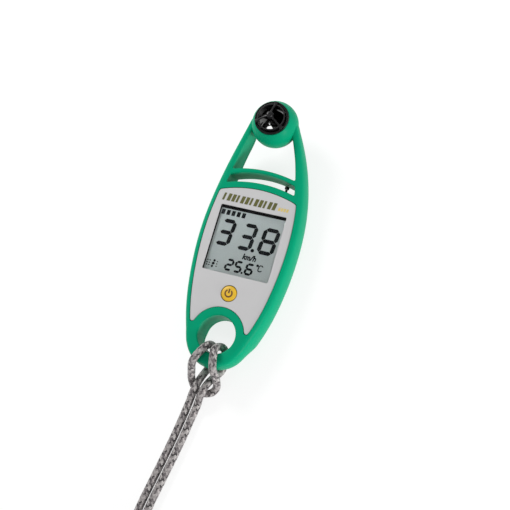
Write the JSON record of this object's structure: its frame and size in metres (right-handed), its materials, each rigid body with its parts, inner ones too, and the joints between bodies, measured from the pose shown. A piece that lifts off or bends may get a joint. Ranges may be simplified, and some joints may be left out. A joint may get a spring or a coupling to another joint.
{
  "type": "vane anemometer",
  "caption": "Pocket vane anemometer: a slim casing with a display, a power button, a finger hole with a hitched cord, and a ball-shaped head that carries a small impeller in a tube.",
  "frame": {"origin": "under the middle of the casing's length and width, on the plane that the casing's flat back rests on", "axes": "+Z out of the display face, +Y towards the rotor head, +X to the right when the display is read"},
  "size_m": [0.0536, 0.3005, 0.035],
  "materials": {
    "green_plastic": "satin moulded plastic",
    "grey_plastic": "fine-grained printed overlay",
    "clear_plastic": "clear, glossy",
    "display_glass": "liquid-crystal glass cell",
    "yellow_plastic": "satin",
    "black_plastic": "glossy",
    "dark_plastic": "satin",
    "white_plastic": "satin",
    "rubber": "matte",
    "silicone": "matte",
    "circuit_board": "solder-masked laminate",
    "steel": "bright",
    "brass": "bright",
    "jewel": "polished synthetic ruby",
    "magnet": "sintered",
    "cord": "braided, flecked grey",
    "tie": "woven hook-and-loop strap"
  },
  "bodies": {
    "casing": {"front_housing": "green_plastic", "rear_housing": "green_plastic", "faceplate": "grey_plastic", "display_window": "clear_plastic", "lcd_panel": "display_glass", "lcd_frame": "white_plastic", "lcd_connector_top": "silicone", "lcd_connector_bottom": "silicone", "circuit_board": "circuit_board", "microcontroller": "dark_plastic", "sensor_amplifier": "dark_plastic", "clock_crystal": "steel", "buzzer_disc": "brass", "switch_body": "steel", "coin_cell": "steel", "contact_minus": "brass", "contact_plus": "brass", "housing_screw_1": "steel", "housing_screw_2": "steel", "housing_screw_3": "steel", "rotor_cartridge": "black_plastic", "front_spider": "dark_plastic", "rear_spider": "dark_plastic", "front_bearing": "jewel", "rear_bearing": "jewel", "speed_sensor": "dark_plastic", "sensor_lead": "dark_plastic", "temperature_probe": "black_plastic", "probe_tip": "black_plastic", "lanyard_cord": "cord", "lanyard_hank": "cord", "lanyard_knot": "cord", "hank_tie": "tie"},
    "rotor": {"impeller": "black_plastic", "axle": "steel", "rotor_magnet": "magnet"},
    "button": {"power_button": "yellow_plastic", "switch_plunger": "dark_plastic"},
    "cap": {"battery_cap": "green_plastic", "battery_seal": "rubber"}
  },
  "joints": [
    {"name": "impeller_spin", "type": "hinge", "parent": "casing", "child": "rotor", "pos_m": [0, 0.0573, 0.021], "axis": [0, 0, 1], "continuous": true},
    {"name": "power_button_press", "type": "slide", "parent": "casing", "child": "button", "axis": [0, 0, -1], "range_m": [0, 0.0005], "stiffness_N_per_m": 1500},
    {"name": "battery_cap_turn", "type": "hinge", "parent": "casing", "child": "cap", "pos_m": [0, -0.008, 0], "axis": [0, 0, 1], "range_deg": [0, 60]}
  ]
}
